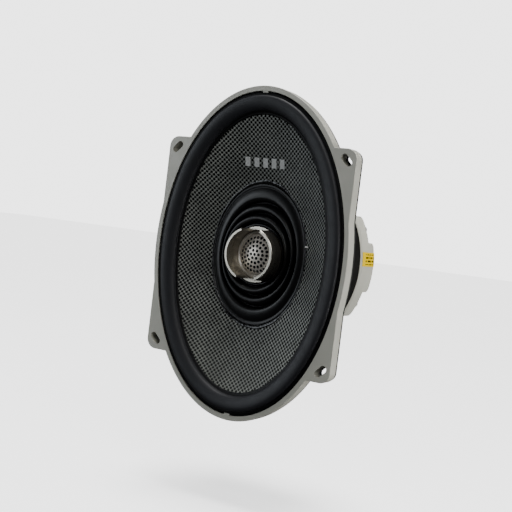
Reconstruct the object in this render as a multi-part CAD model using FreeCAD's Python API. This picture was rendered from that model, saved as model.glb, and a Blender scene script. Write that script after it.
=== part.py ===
import FreeCAD, Part
import math
import os
from FreeCAD import Vector

# A 6x9-inch class coaxial car speaker, standing upright. Units are millimetres.
# The front faces -Y, +Z runs up the long axis, and +X is to the right seen from the front.
# The origin is the centre of the four-slot pattern, on the plane where the gasket meets the panel.

# ---- driving dimensions -------------------------------------------------------------------------

# Flange, recess and gasket
FLANGE_X, FLANGE_Z = 78.1, 118.3         # half axes of the oval rim
EAR_X, EAR_Z, EAR_R = 75.6, 78.9, 7.5    # half sides and corner radius of the ear outline
FLANGE_FRONT = -11.4
GASKET_FRONT, GASKET_INSET = -3.0, 0.9   # the gasket is cut a little smaller than the flange
RIM_BEVEL = 0.3
RECESS_X, RECESS_Z = 74.7, 114.7
LEDGE = -9.6                             # the surround is glued down on this plane
THROAT_X, THROAT_Z = 70.5, 110.5
GASKET_IN_X, GASKET_IN_Z = 75.0, 115.0
SLOT_X, SLOT_Z = 68.2, 71.0
SLOT_WIDTH, SLOT_LENGTH = 5.0, 9.8
TAB_WIDTH = 4.2                          # the two locating tabs at the recess's top and bottom
TAB_IN, TAB_OUT, TAB_STEP = 113.4, 115.3, 0.4

# Basket behind the flange
CUP_X, CUP_Z = 74.5, 114.5               # outside of the legs where they leave the flange
CUP_END_R, CUP_BACK = 58.9, 20.4         # outside of the legs where they run onto the ring
RING_R = 58.0
RING_WALL, RING_LIP = 2.6, 1.2
RING_FRONT, SPIDER_SEAT, SEAT_BACK = 15.0, 19.25, 22.0
SEAT_IN_R = 50.0
FLOOR_FRONT, FLOOR_BACK = 29.0, 32.0
FLOOR_HOLE_R = 32.0
LEG_ANGLES = (38, 90, 142, 218, 270, 322)
LEG_WIDTH = 16.0
LEG_WEB, LEG_RIB = (1.3, 1.7), (2.5, 3.0)  # thickness across and along the axis
RIB_THICK = 2.8
VENT_R, VENT_START, VENT_STEP = 3.0, 15, 30  # round vents in the ring's wall, degrees apart

# Side wings: round housings behind the flange, left and right
WING_R, WING_WALL = 69.6, 2.6
WING_IN_X = 49.5
WING_FRONT = 32.0
WING_RIM = 1.1
REBATE_R, REBATE_BACK = 68.2, 35.2       # the step in its rim that the front cover sits in
WING_ROOT = 22.0                         # half height of the web that joins it to the floor
TIER_Z = (36.0, 17.8)
TIER_BACK = (45.0, 53.3)
TIER_ROUND = 3.0
WING_SCREW_X, WING_SCREW_Z = 61.0, 26.5
WING_SCREW_R = 1.25
WING_HEAD_R, WING_HEAD_TALL = 3.2, 2.0
BOSS_R = 3.2
WING_COVER_FRONT, WING_COVER_BACK = 33.0, 35.0

# Cone: straight sided from the oval edge to the round neck
CONE_X, CONE_Z, CONE_FRONT = 60.0, 99.35, -7.7
NECK_R, NECK_Y = 25.9, 13.6
CONE_THICK = 0.9

# Surround
LAND_X, LAND_Z, LAND_FRONT = 74.4, 114.4, -10.8
ROLL_OUT_X, ROLL_OUT_Z = 72.0, 111.7
ROLL_IN_X, ROLL_IN_Z, ROLL_IN_Y = 61.0, 100.5, -8.5
ROLL_CREST = -12.6
ROLL_THICK = 0.8
ROLL_STEPS = 10
LIP_SHARE = 0.035                        # how far the surround's lip runs down the cone

# Dust boot between the cone and the tweeter tube
BOOT_LIP = 0.664                         # where its foot lies, as a share of the cone's slope
BOOT_THICK = 0.8
BOOT_FOLDS = (                           # half x, half z and y along the front, from the foot inwards
    (35.6, 47.8, 6.0),
    (31.3, 41.4, 5.2),
    (29.7, 37.4, 9.0),
    (28.0, 33.2, 3.5),
    (26.3, 29.8, 8.2),
    (24.5, 26.3, 1.5),
    (22.4, 23.3, 6.2),
    (20.9, 21.2, 3.6),
)
BOOT_COLLAR_R, BOOT_COLLAR_BACK, BOOT_COLLAR_THICK = 20.05, 6.6, 0.6
BEAD_OUT, BEAD_IN, BEAD_TALL = 0.625, 0.661, 0.6  # the glue bead round it, as shares of the slope

# Voice coil and motor
FORMER_IN, FORMER_OUT = 25.4, 25.75
FORMER_FRONT, FORMER_BACK = 12.4, 46.0
COIL_R, COIL_FRONT, COIL_BACK = 26.55, 28.0, 44.0
SPIDER_IN, SPIDER_OUT = 26.0, 56.4
SPIDER_FOLD_OUT = 50.5
SPIDER_THICK, SPIDER_WAVE, SPIDER_FOLDS = 0.5, 1.3, 7
PLATE_R, PLATE_BACK, GAP_R = 45.0, 40.0, 27.1
MAGNET_R, MAGNET_IN, MAGNET_BACK = 46.0, 29.5, 58.0
YOKE_BACK = 66.0
POLE_R, POLE_FRONT = 24.6, 30.0
SHORT_RING_R, SHORT_RING_BACK = 24.9, 42.0
BORE_R = 9.0
COLLAR_R, COLLAR_FRONT, COLLAR_BACK, COLLAR_BEVEL = 27.6, 14.6, 16.4, 0.6
COVER_WALL, COVER_FRONT, COVER_HOLE_R, COVER_ROUND = 2.2, 41.0, 14.0, 1.8
VENT_SCREEN_THICK, VENT_HOLE_R, VENT_PITCH = 0.8, 0.8, 2.6
PLATE_SCREWS, PLATE_SCREW_R, PLATE_SCREW_START = 6, 38.0, 30
PLATE_BOLT_R, PLATE_HOLE_R, PLATE_BOLT_DEEP = 1.6, 2.1, 5.0
PLATE_HEAD_R, PLATE_HEAD_TALL, PLATE_SOCKET_R = 3.6, 2.2, 1.3

# Tweeter
TUBE_R, TUBE_RIM_R, TUBE_BORE = 20.0, 19.4, 16.9
MOUTH_BORE = 17.6                        # wider in front of the step that the trim ring sits on
TUBE_FRONT = -8.85
CUT_ANGLE = 48.0                         # the two cut-outs in the tube's mouth, top and bottom
CUT_BACK = 2.7
TRIM_FRONT, TRIM_BACK, TRIM_IN, TRIM_ROUND = 6.4, 7.6, 15.6, 0.5
SCREEN_R, SCREEN_EDGE, SCREEN_APEX, SCREEN_THICK = 14.4, 6.0, 0.9, 0.35
HOLE_R, HOLE_PITCH = 1.05, 3.04
HOLE_COUNTS = (6, 13, 20, 27)            # holes in each ring round the middle one
DOME_R, DOME_APEX, DOME_EDGE, DOME_THICK = 12.3, 4.6, 8.6, 0.15
TWEETER_SEAT = 9.0
TWEETER_FORMER = (12.3, 12.5)
TWEETER_FORMER_BACK = 12.6
TWEETER_COIL_R, TWEETER_COIL_FRONT, TWEETER_COIL_BACK = 12.9, 9.9, 12.3
TWEETER_FOLD = (                         # section of its surround, as (radius, y), front then back
    (12.55, 8.55), (13.0, 7.9), (13.6, 7.7), (14.2, 7.9), (14.7, 8.6), (15.8, 8.6),
    (15.8, 8.95), (14.6, 8.95), (14.0, 8.2), (13.6, 8.0), (13.1, 8.2), (12.75, 8.75),
)
CLAMP_IN, CLAMP_STEP_R, CLAMP_STEP_Y = 14.9, 15.9, 8.5
TWEETER_POLE_R, TWEETER_GAP_R, TWEETER_YOKE_R = 11.9, 13.3, 16.8
TWEETER_POLE = (9.6, 12.0)
TWEETER_MAGNET_R, TWEETER_MAGNET_BACK = 11.4, 17.0
TWEETER_YOKE_BACK, TUBE_FLOOR = 20.0, 23.0
STEM_R, SPIGOT_BACK, STEM_HOLE_R = 14.0, 40.0, 3.0
TUBE_BASE, STEM_TAPER = 2.8, 4.0

# Wiring
LEAD_R = 0.6
LEAD_Z = 10.0
EYELET_X, EYELET_LONG, EYELET_R = 41.5, 2.4, 1.2
LEAD_BENDS = (2.2, 1.8, 1.6, 1.6)
LEAD_TAG_X, LEAD_TAG_LONG, LEAD_TAG_WIDE, LEAD_TAG_THICK = 38.9, 3.8, 1.0, 0.3
STRIP_X, STRIP_FRONT, STRIP_HALF = (54.0, 60.5), 13.4, 14.0
TWEETER_LEAD_R = 1.2
TWEETER_LEAD_Y, TWEETER_LEAD_BENDS = 63.6, (7.0, 6.5)
LEAD_SLOT = 1.6                          # half the slot's width along the axis

# Crossover in the right-hand wing, and the terminal block behind it
TERMINAL_X = 58.0
BOARD_FRONT, BOARD_BACK, BOARD_HALF = 37.0, 38.6, 22.5
CAPACITOR_R, CAPACITOR_LONG, CAPACITOR_AT = 3.6, 13.0, (59.0, 42.3, -14.4)
INDUCTOR_X, INDUCTOR_Z = 59.0, 8.0
INDUCTOR_R, BOBBIN_R, BOBBIN_BORE_R = 5.2, 6.0, 2.2
BOBBIN_WALL, BOBBIN_LONG = 1.0, 7.4
RESISTOR_LOW, RESISTOR_HIGH = (54.0, 38.6, -21.5), (59.0, 42.2, -16.0)
PLUG_X, PLUG_Z, PLUG_DEEP = 3.5, 11.1, 1.6
PLATE_X, PLATE_Z, PLATE_TALL = 5.0, 13.4, 1.5
GLAND_R, GLAND_TALL = 2.6, 3.2
TAB_THICK, TAB_ROOT, TAB_REACH = 0.8, 6.0, 11.0
TAB_HOLE_R, TAB_HOLE_Y = 0.6, 8.0
INPUT_TABS = ((9.5, 2.4), (-9.5, 2.4))   # place along Z and half width
TWEETER_TABS = ((5.2, 1.4), (-5.2, 1.4))
STRAP_X, STRAP_Z, STRAP_Y = 3.0, (4.2, 10.5), (1.6, 3.8)

# Label
LABEL_LOW, LABEL_HIGH, LABEL_THICK, LABEL_FLAP_X = 1.0, 11.0, 0.2, 64.5

Y_AXIS = Vector(0, 1, 0)


# ---- shapes -------------------------------------------------------------------------------------

def disc(radius, front, back, x=0.0, z=0.0):
    return Part.makeCylinder(radius, back - front, Vector(x, front, z), Y_AXIS)


def ring(outer, inner, front, back):
    return disc(outer, front, back).cut(disc(inner, front - 1, back + 1))


def block(x0, x1, y0, y1, z0, z1):
    return Part.makeBox(x1 - x0, y1 - y0, z1 - z0, Vector(x0, y0, z0))


def fused(shapes):
    return shapes[0].fuse(shapes[1:]).removeSplitter()


def edges_at(shape, y):
    """The edges that lie around or on the plane at y."""
    return [e for e in shape.Edges if abs(e.CenterOfMass.y - y) < 1e-6]


def on_both_sides(shape):
    """The shape and its mirror image to the left."""
    return [shape, shape.mirror(Vector(0, 0, 0), Vector(1, 0, 0))]


def turned(profile):
    """A solid turned about Y from (radius, y) points."""
    points = [Vector(r, y, 0) for r, y in profile]
    wire = Part.makePolygon(points + points[:1])
    return Part.Face(wire).revolve(Vector(0, 0, 0), Y_AXIS, 360)


def about_y(shape, degrees):
    """The shape turned about Y, so that +X moves towards +Z."""
    copy = shape.copy()
    copy.rotate(Vector(0, 0, 0), Y_AXIS, -degrees)
    return copy


def oval_edge(half_x, half_z, y):
    centre = Vector(0, y, 0)
    tall = Vector(0, y, max(half_z, half_x + 1e-4))
    return Part.Ellipse(tall, Vector(half_x, y, 0), centre).toShape()


def oval(half_x, half_z, front, back):
    """An upright oval plate."""
    face = Part.Face(Part.Wire([oval_edge(half_x, half_z, front)]))
    return face.extrude(Vector(0, back - front, 0))


def oval_ring(stations):
    """A closed ring whose section is the polygon of (half x, half z, y) stations."""
    edges = [oval_edge(*station) for station in stations]
    faces = [Part.makeRuledSurface(a, b) for a, b in zip(edges, edges[1:] + edges[:1])]
    shell = Part.makeShell(faces)
    shell.sewShape()
    solid = Part.makeSolid(shell)
    if solid.Volume < 0:
        solid.reverse()
    return solid


def oval_taper(first, second):
    """A solid between two ovals, each given as (half x, half z, y)."""
    wires = [Part.Wire([oval_edge(*first)]), Part.Wire([oval_edge(*second)])]
    return Part.makeLoft(wires, True, True)


def dome_shell(radius, edge, apex, thick):
    """A thin dome that bulges towards -Y from a rim of the given radius at y = edge."""
    rise = edge - apex
    ball_r = (radius ** 2 + rise ** 2) / (2 * rise)
    centre = Vector(0, apex + ball_r, 0)
    skin = Part.makeSphere(ball_r, centre).cut(Part.makeSphere(ball_r - thick, centre))
    return skin.common(disc(radius, apex - 1, edge))


def cone_station(share, lift=0.0):
    """An oval on the cone's front face, a share of the way down its slope, lifted off forwards."""
    return (
        CONE_X + (NECK_R - CONE_X) * share,
        CONE_Z + (NECK_R - CONE_Z) * share,
        CONE_FRONT + (NECK_Y - CONE_FRONT) * share - lift,
    )


def cone_share(x, z):
    """The share of the slope at which the cone's front passes through x and z."""
    low, high = 0.0, 1.0
    for _ in range(40):
        middle = (low + high) / 2
        half_x, half_z, _ = cone_station(middle)
        if (x / half_x) ** 2 + (z / half_z) ** 2 < 1:
            low = middle
        else:
            high = middle
    return low


def tube_along(points, bends, radius):
    """A round wire through the points, with an arc of the given radius at each inner one."""
    edges = []
    start = points[0]
    for before, corner, after, bend in zip(points, points[1:], points[2:], bends):
        towards = (before - corner).normalize()
        away = (after - corner).normalize()
        turn = math.pi - towards.getAngle(away)
        reach = bend * math.tan(turn / 2)
        first = corner + towards * reach
        last = corner + away * reach
        inward = (towards + away).normalize()
        middle = corner + inward * (bend / math.cos(turn / 2) - bend)
        edges.append(Part.LineSegment(start, first).toShape())
        edges.append(Part.Arc(first, middle, last).toShape())
        start = last
    edges.append(Part.LineSegment(start, points[-1]).toShape())
    path = Part.Wire(edges)
    direction = points[1] - points[0]
    section = Part.Wire([Part.Circle(points[0], direction, radius).toShape()])
    return path.makePipeShell([section], True, True)


# ---- basket and gasket --------------------------------------------------------------------------

def flange_plate(front, back, inset=0.0):
    """The flange's outline, an oval joined with a rounded rectangle for the ears."""
    half_x, half_z = EAR_X - inset, EAR_Z - inset
    ears = block(-half_x, half_x, front, back, -half_z, half_z)
    upright = [e for e in ears.Edges if abs(e.tangentAt(e.FirstParameter).y) > 0.99]
    ears = ears.makeFillet(EAR_R - inset, upright)
    return fused([oval(FLANGE_X - inset, FLANGE_Z - inset, front, back), ears])


def bevel_front(shape, y, size):
    return shape.makeChamfer(size, edges_at(shape, y))


def slots(front, back):
    """The four oblique mounting slots, each square to its own diagonal."""
    cutters = []
    run = SLOT_LENGTH - SLOT_WIDTH
    for side in (-1, 1):
        for level in (-1, 1):
            slot = fused([
                block(-run / 2, run / 2, front, back, -SLOT_WIDTH / 2, SLOT_WIDTH / 2),
                disc(SLOT_WIDTH / 2, front, back, -run / 2),
                disc(SLOT_WIDTH / 2, front, back, run / 2),
            ])
            slot = about_y(slot, -45 * side * level)
            slot.translate(Vector(side * SLOT_X, 0, level * SLOT_Z))
            cutters.append(slot)
    return cutters


def flange():
    plate = bevel_front(flange_plate(FLANGE_FRONT, GASKET_FRONT), FLANGE_FRONT, RIM_BEVEL)
    plate = plate.cut(oval(RECESS_X, RECESS_Z, FLANGE_FRONT - 1, LEDGE))
    plate = plate.cut(oval(THROAT_X, THROAT_Z, LEDGE - 1, GASKET_FRONT + 1))
    plate = plate.cut(slots(FLANGE_FRONT - 1, GASKET_FRONT + 1))
    half = TAB_WIDTH / 2
    tabs = [
        block(-half, half, FLANGE_FRONT + TAB_STEP, LEDGE, TAB_IN, TAB_OUT),
        block(-half, half, FLANGE_FRONT + TAB_STEP, LEDGE, -TAB_OUT, -TAB_IN),
    ]
    return fused([plate] + tabs)


def cup_wall(across, along):
    """The tapering wall that the legs are cut from, its inside set in and forward."""
    outer = oval_taper((CUP_X, CUP_Z, GASKET_FRONT), (CUP_END_R, CUP_END_R, CUP_BACK))
    inner = oval_taper(
        (CUP_X - across, CUP_Z - across, GASKET_FRONT - along),
        (CUP_END_R - across, CUP_END_R - across, CUP_BACK - along),
    )
    return outer.cut(inner)


def legs():
    """Six channel-section legs: a web with a rib along each edge."""
    web, rib = cup_wall(*LEG_WEB), cup_wall(*LEG_RIB)
    half = LEG_WIDTH / 2
    shapes = []
    for angle in LEG_ANGLES:
        reach = block(40, 130, GASKET_FRONT, CUP_BACK, -half, half)
        shapes.append(web.common(about_y(reach, angle)))
        for edge in (-half, half - RIB_THICK):
            strip = block(40, 130, GASKET_FRONT, CUP_BACK, edge, edge + RIB_THICK)
            shapes.append(rib.common(about_y(strip, angle)))
    spider_room = [disc(RING_R - RING_LIP, 0, SPIDER_SEAT), disc(SEAT_IN_R, 0, SEAT_BACK)]
    return [shape.cut(spider_room) for shape in shapes]


def spider_ring():
    """The round seat under the spider and the vented wall that carries the floor."""
    wall = ring(RING_R, RING_R - RING_WALL, SEAT_BACK, FLOOR_FRONT)
    for angle in range(VENT_START, 360, VENT_STEP):
        vent = disc(VENT_R, 0, 20)
        vent.rotate(Vector(0, 0, 0), Vector(0, 0, 1), -90)
        vent.translate(Vector(RING_R - 10, (SEAT_BACK + FLOOR_FRONT) / 2, 0))
        wall = wall.cut(about_y(vent, angle))
    return [
        ring(RING_R, RING_R - RING_LIP, RING_FRONT, SPIDER_SEAT),
        ring(RING_R, SEAT_IN_R, SPIDER_SEAT, SEAT_BACK),
        wall,
        ring(RING_R, FLOOR_HOLE_R, FLOOR_FRONT, FLOOR_BACK),
    ]


def tier(half_z, back, rounding, x0, x1):
    """One step of a wing: a slab with its two rear corners rounded."""
    slab = block(x0, x1, WING_FRONT, back, -half_z, half_z)
    corners = [e for e in edges_at(slab, back) if abs(abs(e.CenterOfMass.z) - half_z) < 1e-6]
    return slab.makeFillet(rounding, corners)


def wing():
    """The right-hand wing: a stepped round housing, open to the front beside the floor."""
    far = WING_R + 5
    outer = fused([
        tier(TIER_Z[0], TIER_BACK[0], TIER_ROUND, WING_IN_X, far),
        tier(TIER_Z[1], TIER_BACK[1], TIER_ROUND, WING_IN_X, far),
    ])
    round_side = fused([
        disc(WING_R, WING_FRONT + WING_RIM, TIER_BACK[1]),
        Part.makeCone(WING_R - WING_RIM, WING_R, WING_RIM, Vector(0, WING_FRONT, 0), Y_AXIS),
    ])
    outer = outer.common(round_side)
    wall = WING_WALL
    hollow = fused([
        block(WING_IN_X + wall, far, WING_FRONT - 1, TIER_BACK[0] - wall,
              wall - TIER_Z[0], TIER_Z[0] - wall),
        block(WING_IN_X + wall, far, WING_FRONT - 1, TIER_BACK[1] - wall,
              wall - TIER_Z[1], TIER_Z[1] - wall),
    ])
    room = fused([
        disc(WING_R - wall, WING_FRONT - 1, TIER_BACK[1]),
        disc(REBATE_R, WING_FRONT - 1, REBATE_BACK),
    ])
    root = block(WING_IN_X, WING_IN_X + wall, FLOOR_FRONT + 1, WING_FRONT + 1, -WING_ROOT, WING_ROOT)
    body = fused([outer.cut(hollow.common(room)), root])
    for level in (-1, 1):
        z = level * WING_SCREW_Z
        boss = disc(BOSS_R, REBATE_BACK, TIER_BACK[0], WING_SCREW_X, z).common(round_side)
        body = fused([body, boss])
        body = body.cut(disc(WING_SCREW_R + 0.15, 30, 60, WING_SCREW_X, z))
    return body


def terminal_window():
    """The opening in the right-hand wing's rear face that the terminal block plugs into."""
    half_x, half_z = PLUG_X + 0.1, PLUG_Z + 0.1
    return block(TERMINAL_X - half_x, TERMINAL_X + half_x, 49, 55, -half_z, half_z)


def plate_screw_places():
    """The angles of the screws that hold the top plate to the basket's floor."""
    return [PLATE_SCREW_START + turn * 360 / PLATE_SCREWS for turn in range(PLATE_SCREWS)]


def basket():
    body = flange().fuse(legs() + spider_ring() + on_both_sides(wing()))
    for angle in plate_screw_places():
        hole = disc(PLATE_HOLE_R, FLOOR_FRONT - 1, FLOOR_BACK + 1, PLATE_SCREW_R)
        body = body.cut(about_y(hole, angle))
    return body.cut(terminal_window())


def flange_gasket():
    plate = flange_plate(GASKET_FRONT, 0.0, GASKET_INSET)
    plate = plate.cut(oval(GASKET_IN_X, GASKET_IN_Z, GASKET_FRONT - 1, 1.0))
    return plate.cut(slots(GASKET_FRONT - 1, 1.0))


# ---- cone, surround, spider and boot ------------------------------------------------------------

def cone():
    edge_x, edge_z, edge_y = cone_station(0.0)
    neck_x, neck_z, neck_y = cone_station(1.0)
    return oval_ring([
        (edge_x, edge_z, edge_y),
        (neck_x, neck_z, neck_y),
        (neck_x, neck_z, neck_y + CONE_THICK),
        (edge_x, edge_z, edge_y + CONE_THICK),
    ])


def roll_stations(inset):
    """Ovals over the half-roll from its outer foot to its inner one, set in from its front face."""
    stations = []
    for step in range(1, ROLL_STEPS):
        turn = math.pi * step / ROLL_STEPS
        across = (1 - math.cos(turn)) / 2
        foot = LAND_FRONT + (ROLL_IN_Y - LAND_FRONT) * across
        rise = (LAND_FRONT + ROLL_IN_Y) / 2 - ROLL_CREST - inset
        narrow = inset * math.cos(turn)
        stations.append((
            ROLL_OUT_X + (ROLL_IN_X - ROLL_OUT_X) * across - narrow,
            ROLL_OUT_Z + (ROLL_IN_Z - ROLL_OUT_Z) * across - narrow,
            foot - rise * math.sin(turn) + inset * (1 - math.sin(turn)),
        ))
    return stations


def surround():
    front = [(LAND_X, LAND_Z, LAND_FRONT), (ROLL_OUT_X, ROLL_OUT_Z, LAND_FRONT)]
    front += roll_stations(0.0)
    front += [(ROLL_IN_X, ROLL_IN_Z, ROLL_IN_Y), cone_station(LIP_SHARE, 0.6)]
    back = [(LAND_X, LAND_Z, LEDGE), (ROLL_OUT_X - ROLL_THICK, ROLL_OUT_Z - ROLL_THICK, LEDGE)]
    back += roll_stations(ROLL_THICK)
    back += [(ROLL_IN_X - 0.4, ROLL_IN_Z - 0.5, CONE_FRONT - 0.4), cone_station(LIP_SHARE, 0.15)]
    body = oval_ring(front + back[::-1])
    half = TAB_WIDTH / 2 + 0.2
    for level in (-1, 1):
        low, high = sorted((level * (TAB_IN - 0.2), level * (TAB_OUT + 0.2)))
        body = body.cut(block(-half, half, FLANGE_FRONT, LEDGE + 1, low, high))
    return body


def dust_boot():
    front = [cone_station(BOOT_LIP, 0.85)] + list(BOOT_FOLDS)
    back = [(x, z, y + BOOT_THICK) for x, z, y in BOOT_FOLDS]
    back = [cone_station(BOOT_LIP, 0.08)] + back
    collar = [
        (BOOT_COLLAR_R, BOOT_COLLAR_R, BOOT_FOLDS[-1][2] - 0.3),
        (BOOT_COLLAR_R, BOOT_COLLAR_R, BOOT_COLLAR_BACK),
        (BOOT_COLLAR_R + BOOT_COLLAR_THICK, BOOT_COLLAR_R + BOOT_COLLAR_THICK, BOOT_COLLAR_BACK),
    ]
    return oval_ring(front + collar + back[::-1])


def cone_glue_bead():
    """The bead of adhesive on the cone round the boot's foot."""
    return oval_ring([
        cone_station(BEAD_OUT, 0.0),
        cone_station(BEAD_OUT + 0.01, BEAD_TALL * 0.75),
        cone_station(BEAD_IN - 0.006, BEAD_TALL),
        cone_station(BEAD_IN, 0.0),
    ])


def spider():
    """The corrugated fabric disc that centres the coil."""
    middle = SPIDER_SEAT - SPIDER_THICK
    half_folds = SPIDER_FOLDS * 2
    first = SPIDER_IN + 2.0
    waves = []
    for step in range(half_folds + 1):
        r = first + (SPIDER_FOLD_OUT - first) * step / half_folds
        level = 0.0 if step in (0, half_folds) else SPIDER_WAVE * (-1) ** step
        waves.append((r, middle + level))
    front = [(SPIDER_IN, middle)] + waves + [(SPIDER_OUT, middle)]
    back = [(r, y + SPIDER_THICK) for r, y in reversed(front)]
    return turned(front + back)


# ---- voice coil and motor -----------------------------------------------------------------------

def voice_coil_former():
    return ring(FORMER_OUT, FORMER_IN, FORMER_FRONT, FORMER_BACK)


def voice_coil_winding():
    return ring(COIL_R, FORMER_OUT, COIL_FRONT, COIL_BACK)


def former_collar():
    """The stiffening ring that joins the cone's neck, the former and the spider."""
    return turned([
        (FORMER_OUT, COLLAR_FRONT), (COLLAR_R - COLLAR_BEVEL, COLLAR_FRONT),
        (COLLAR_R, COLLAR_FRONT + COLLAR_BEVEL), (COLLAR_R, COLLAR_BACK), (FORMER_OUT, COLLAR_BACK),
    ])


def top_plate():
    plate = ring(PLATE_R, GAP_R, FLOOR_BACK, PLATE_BACK)
    for angle in plate_screw_places():
        deep = FLOOR_BACK + PLATE_BOLT_DEEP + 1
        plate = plate.cut(about_y(disc(PLATE_BOLT_R, FLOOR_BACK - 1, deep, PLATE_SCREW_R), angle))
    return plate


def plate_screws():
    top = FLOOR_FRONT - PLATE_HEAD_TALL
    head = disc(PLATE_HEAD_R, top, FLOOR_FRONT, PLATE_SCREW_R)
    screw = fused([
        head.makeFillet(1.2, edges_at(head, top)),
        disc(PLATE_BOLT_R, FLOOR_FRONT, FLOOR_BACK + PLATE_BOLT_DEEP, PLATE_SCREW_R),
    ])
    screw = screw.cut(disc(PLATE_SOCKET_R, top - 1, FLOOR_FRONT - 0.8, PLATE_SCREW_R))
    return Part.makeCompound([about_y(screw, angle) for angle in plate_screw_places()])


def magnet_ring():
    return ring(MAGNET_R, MAGNET_IN, PLATE_BACK, MAGNET_BACK)


def lead_slot(front, back, reach):
    return block(0, reach, front, back, -1.5, 1.5)


def pole_yoke():
    """The pole and back plate in one turning, bored through and slotted for the tweeter's lead."""
    body = fused([disc(PLATE_R, MAGNET_BACK, YOKE_BACK), disc(POLE_R, POLE_FRONT, YOKE_BACK)])
    body = body.cut(disc(BORE_R, POLE_FRONT - 1, YOKE_BACK + 1))
    return body.cut(lead_slot(TWEETER_LEAD_Y - LEAD_SLOT, YOKE_BACK + 1, PLATE_R + 2))


def shorting_ring():
    return ring(SHORT_RING_R, POLE_R, POLE_FRONT, SHORT_RING_BACK)


def magnet_cover():
    """The rubber boot round the magnet and back plate."""
    back = YOKE_BACK + COVER_WALL
    shell = disc(MAGNET_R + COVER_WALL, COVER_FRONT, back)
    shell = shell.makeFillet(COVER_ROUND, edges_at(shell, back))
    shell = shell.cut(disc(MAGNET_R, COVER_FRONT - 1, YOKE_BACK))
    shell = shell.cut(disc(COVER_HOLE_R, YOKE_BACK - 1, back + 1))
    slot = lead_slot(TWEETER_LEAD_Y - LEAD_SLOT, TWEETER_LEAD_Y + LEAD_SLOT, MAGNET_R + 5)
    return shell.cut(slot)


def vent_screen():
    """The perforated disc over the pole vent."""
    screen = disc(COVER_HOLE_R - 0.1, YOKE_BACK, YOKE_BACK + VENT_SCREEN_THICK)
    for row in (1, 2, 3):
        for turn in range(6 * row):
            hole = disc(VENT_HOLE_R, YOKE_BACK - 1, YOKE_BACK + 2, VENT_PITCH * row)
            screen = screen.cut(about_y(hole, turn * 60 / row))
    return screen


# ---- tweeter ------------------------------------------------------------------------------------

def tweeter_housing():
    """The tweeter's tube, open in front, with a floor, a stem on the pole and a spigot in its bore."""
    body = turned([
        (TUBE_BORE, TRIM_BACK), (MOUTH_BORE, TRIM_BACK),
        (MOUTH_BORE, TUBE_FRONT), (TUBE_RIM_R - 0.4, TUBE_FRONT), (TUBE_RIM_R, TUBE_FRONT + 0.4),
        (TUBE_R, CUT_BACK + 0.8), (TUBE_R, TUBE_FLOOR), (STEM_R, TUBE_FLOOR + STEM_TAPER),
        (STEM_R, POLE_FRONT), (BORE_R - 0.05, POLE_FRONT), (BORE_R - 0.05, SPIGOT_BACK),
        (STEM_HOLE_R, SPIGOT_BACK), (STEM_HOLE_R, TUBE_FLOOR - TUBE_BASE),
        (TUBE_BORE, TUBE_FLOOR - TUBE_BASE),
    ])
    half = math.radians(CUT_ANGLE / 2)
    far = TUBE_R * 2
    wedge = Part.makePolygon([
        Vector(0, 0, 0),
        Vector(far * math.sin(half), 0, far * math.cos(half)),
        Vector(-far * math.sin(half), 0, far * math.cos(half)),
        Vector(0, 0, 0),
    ])
    cut = Part.Face(wedge).extrude(Vector(0, CUT_BACK - TUBE_FRONT + 5, 0))
    cut.translate(Vector(0, TUBE_FRONT - 5, 0))
    return body.cut([cut, about_y(cut, 180)])


def tweeter_trim_ring():
    """The bright ring inside the tube, rounded on both front edges."""
    band = ring(MOUTH_BORE - 0.02, TRIM_IN, TRIM_FRONT, TRIM_BACK)
    return band.makeFillet(TRIM_ROUND, edges_at(band, TRIM_FRONT))


def tweeter_screen():
    """The domed screen with rings of round holes."""
    shell = fused([
        dome_shell(SCREEN_R, SCREEN_EDGE, SCREEN_APEX, SCREEN_THICK),
        ring(SCREEN_R, SCREEN_R - SCREEN_THICK, SCREEN_EDGE, TRIM_BACK),
        ring(TRIM_IN - 0.05, SCREEN_R - SCREEN_THICK, TRIM_BACK - SCREEN_THICK, TRIM_BACK),
    ])
    holes = [disc(HOLE_R, -5, SCREEN_EDGE)]
    for row, count in enumerate(HOLE_COUNTS, start=1):
        for turn in range(count):
            hole = disc(HOLE_R, -5, SCREEN_EDGE, HOLE_PITCH * row)
            holes.append(about_y(hole, turn * 360 / count))
    return shell.cut(holes)


def tweeter_dome():
    return dome_shell(DOME_R, DOME_EDGE, DOME_APEX, DOME_THICK)


def tweeter_surround():
    return turned(TWEETER_FOLD)


def tweeter_clamp():
    """The plastic ring that holds the tweeter's surround down on its yoke."""
    return turned([
        (CLAMP_IN, TRIM_BACK), (TUBE_BORE - 0.1, TRIM_BACK), (TUBE_BORE - 0.1, TWEETER_SEAT),
        (CLAMP_STEP_R, TWEETER_SEAT), (CLAMP_STEP_R, CLAMP_STEP_Y), (CLAMP_IN, CLAMP_STEP_Y),
    ])


def tweeter_former():
    inner, outer = TWEETER_FORMER
    return ring(outer, inner, DOME_EDGE, TWEETER_FORMER_BACK)


def tweeter_winding():
    return ring(TWEETER_COIL_R, TWEETER_FORMER[1], TWEETER_COIL_FRONT, TWEETER_COIL_BACK)


def tweeter_pole_piece():
    return disc(TWEETER_POLE_R, *TWEETER_POLE)


def tweeter_magnet():
    return disc(TWEETER_MAGNET_R, TWEETER_POLE[1], TWEETER_MAGNET_BACK)


def tweeter_yoke():
    body = disc(TWEETER_YOKE_R, TWEETER_SEAT, TWEETER_YOKE_BACK)
    return body.cut(disc(TWEETER_GAP_R, TWEETER_SEAT - 1, TWEETER_MAGNET_BACK))


def tweeter_lead():
    """The tweeter's twin lead: back through the pole, out along the slot, and forward to the block."""
    points = [
        Vector(0, TWEETER_YOKE_BACK + 0.4, 0),
        Vector(0, TWEETER_LEAD_Y, 0),
        Vector(TERMINAL_X, TWEETER_LEAD_Y, 0),
        Vector(TERMINAL_X, TIER_BACK[1] + GLAND_TALL, 0),
    ]
    return tube_along(points, TWEETER_LEAD_BENDS, TWEETER_LEAD_R)


# ---- wing fittings ------------------------------------------------------------------------------

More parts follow.
